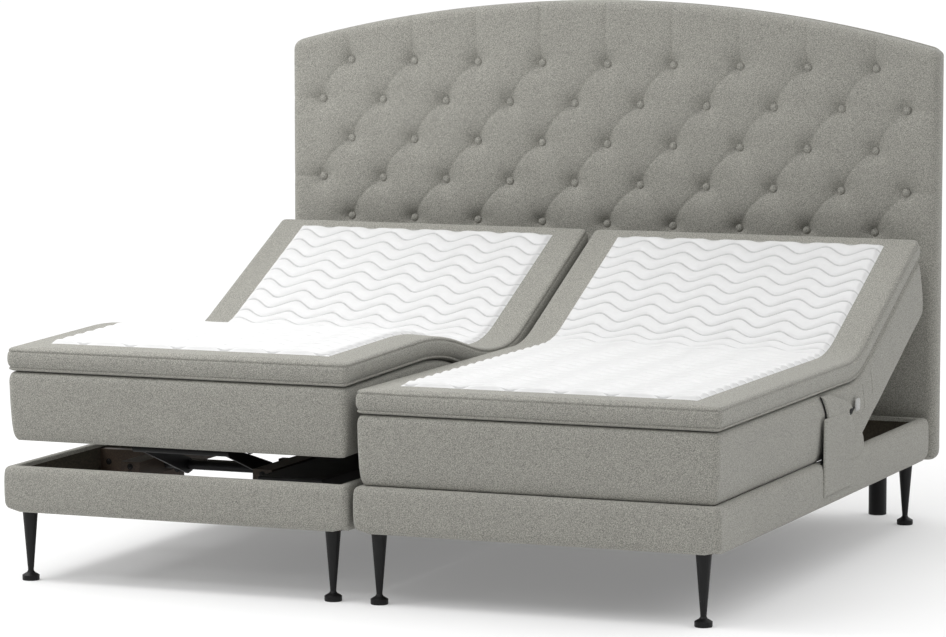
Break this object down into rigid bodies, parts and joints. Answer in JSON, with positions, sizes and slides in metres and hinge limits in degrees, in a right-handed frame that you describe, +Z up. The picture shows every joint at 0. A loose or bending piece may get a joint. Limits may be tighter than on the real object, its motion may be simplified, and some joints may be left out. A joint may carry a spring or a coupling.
{
  "type": "adjustable bed",
  "caption": "Double adjustable bed: upholstered halves on legs, each with a rising back, thigh and calf section, toppers and an arched buttoned headboard.",
  "frame": {"origin": "on the floor, under the middle of the whole bed's box", "axes": "+Z up, +Y from the foot end to the headboard, +X to the right as seen from the foot end"},
  "size_m": [2.144, 2.1542, 1.593],
  "materials": {
    "upholstery": "matte",
    "topper_cloth": "matte",
    "wood": "satin",
    "black_metal": "satin",
    "black_plastic": "satin",
    "steel": "satin"
  },
  "bodies": {
    "frame": {"foot_rail_left": "upholstery", "head_rail_left": "upholstery", "outer_side_rail_left": "upholstery", "inner_side_rail_left": "upholstery", "seat_block_left": "upholstery", "foot_rail_right": "upholstery", "head_rail_right": "upholstery", "outer_side_rail_right": "upholstery", "inner_side_rail_right": "upholstery", "seat_block_right": "upholstery", "headboard_padding": "upholstery", "headboard_board": "upholstery", "seat_topper_left": "topper_cloth", "seat_topper_right": "topper_cloth", "outer_ledge_left": "wood", "inner_ledge_left": "wood", "outer_drive_beam_left": "wood", "inner_drive_beam_left": "wood", "cross_board_left": "wood", "outer_ledge_right": "wood", "inner_ledge_right": "wood", "outer_drive_beam_right": "wood", "inner_drive_beam_right": "wood", "cross_board_right": "wood", "foot_outer_leg_left": "black_metal", "foot_inner_leg_left": "black_metal", "head_outer_leg_left": "black_metal", "head_inner_leg_left": "black_metal", "headboard_post_left": "black_metal", "foot_outer_leg_right": "black_metal", "foot_inner_leg_right": "black_metal", "head_outer_leg_right": "black_metal", "head_inner_leg_right": "black_metal", "headboard_post_right": "black_metal", "drive_unit_left": "black_plastic", "drive_unit_right": "black_plastic", "back_hinge_rod_left": "steel", "back_hinge_rod_right": "steel"},
    "back_section_left": {"back_block_left": "upholstery", "back_topper_left": "topper_cloth"},
    "thigh_section_left": {"thigh_block_left": "upholstery", "thigh_topper_left": "topper_cloth", "thigh_hinge_rod_left": "steel", "knee_hinge_rod_left": "steel"},
    "calf_section_left": {"calf_block_left": "upholstery", "calf_topper_left": "topper_cloth"},
    "back_lift_left": {"back_lift_shaft_left": "black_metal"},
    "thigh_lift_left": {"thigh_lift_shaft_left": "black_metal"},
    "calf_lift_left": {"calf_lift_shaft_left": "black_metal"},
    "back_section_right": {"back_block_right": "upholstery", "back_topper_right": "topper_cloth"},
    "thigh_section_right": {"thigh_block_right": "upholstery", "thigh_topper_right": "topper_cloth", "thigh_hinge_rod_right": "steel", "knee_hinge_rod_right": "steel"},
    "calf_section_right": {"calf_block_right": "upholstery", "calf_topper_right": "topper_cloth"},
    "back_lift_right": {"back_lift_shaft_right": "black_metal"},
    "thigh_lift_right": {"thigh_lift_shaft_right": "black_metal"},
    "calf_lift_right": {"calf_lift_shaft_right": "black_metal"}
  },
  "joints": [
    {"name": "back_hinge_left", "type": "hinge", "parent": "frame", "child": "back_section_left", "pos_m": [-0.5365, 0.19785, 0.488], "axis": [1, 0, 0], "range_deg": [-25, 40]},
    {"name": "thigh_hinge_left", "type": "hinge", "parent": "frame", "child": "thigh_section_left", "pos_m": [-0.5365, -0.05215, 0.488], "axis": [-1, 0, 0], "range_deg": [-13.5, 16.5]},
    {"name": "knee_hinge_left", "type": "hinge", "parent": "thigh_section_left", "child": "calf_section_left", "pos_m": [-0.5365, -0.40707, 0.57321], "axis": [1, 0, 0], "range_deg": [-15.4, 18.72]},
    {"name": "back_lift_pivot_left", "type": "hinge", "parent": "frame", "child": "back_lift_left", "pos_m": [-0.5365, 0.23785, 0.285], "axis": [1, 0, 0], "range_deg": [-19.5, 30.9]},
    {"name": "thigh_lift_pivot_left", "type": "hinge", "parent": "frame", "child": "thigh_lift_left", "pos_m": [-0.5365, -0.15215, 0.285], "axis": [-1, 0, 0], "range_deg": [-16.97, 20.63]},
    {"name": "calf_lift_pivot_left", "type": "hinge", "parent": "frame", "child": "calf_lift_left", "pos_m": [-0.5365, -0.58215, 0.285], "axis": [-1, 0, 0], "range_deg": [-13.8, 16.75]},
    {"name": "back_hinge_right", "type": "hinge", "parent": "frame", "child": "back_section_right", "pos_m": [0.5365, 0.19785, 0.488], "axis": [1, 0, 0], "range_deg": [-25, 40]},
    {"name": "thigh_hinge_right", "type": "hinge", "parent": "frame", "child": "thigh_section_right", "pos_m": [0.5365, -0.05215, 0.488], "axis": [-1, 0, 0], "range_deg": [0, 30]},
    {"name": "knee_hinge_right", "type": "hinge", "parent": "thigh_section_right", "child": "calf_section_right", "pos_m": [0.5365, -0.41715, 0.488], "axis": [1, 0, 0], "range_deg": [-0.5, 33.62]},
    {"name": "back_lift_pivot_right", "type": "hinge", "parent": "frame", "child": "back_lift_right", "pos_m": [0.5365, 0.23785, 0.285], "axis": [1, 0, 0], "range_deg": [-19.5, 30.9]},
    {"name": "thigh_lift_pivot_right", "type": "hinge", "parent": "frame", "child": "thigh_lift_right", "pos_m": [0.5365, -0.15215, 0.285], "axis": [-1, 0, 0], "range_deg": [-0.5, 37.1]},
    {"name": "calf_lift_pivot_right", "type": "hinge", "parent": "frame", "child": "calf_lift_right", "pos_m": [0.5365, -0.58215, 0.285], "axis": [-1, 0, 0], "range_deg": [-0.5, 30.05]}
  ],
  "couplings": [
    {"joint": "knee_hinge_left", "follows": "thigh_hinge_left", "ratio": 1.104},
    {"joint": "back_lift_pivot_left", "follows": "back_hinge_left", "ratio": 0.76},
    {"joint": "thigh_lift_pivot_left", "follows": "thigh_hinge_left", "ratio": 1.22},
    {"joint": "calf_lift_pivot_left", "follows": "thigh_hinge_left", "ratio": 0.985},
    {"joint": "knee_hinge_right", "follows": "thigh_hinge_right", "ratio": 1.104},
    {"joint": "back_lift_pivot_right", "follows": "back_hinge_right", "ratio": 0.76},
    {"joint": "thigh_lift_pivot_right", "follows": "thigh_hinge_right", "ratio": 1.22},
    {"joint": "calf_lift_pivot_right", "follows": "thigh_hinge_right", "ratio": 0.985}
  ]
}
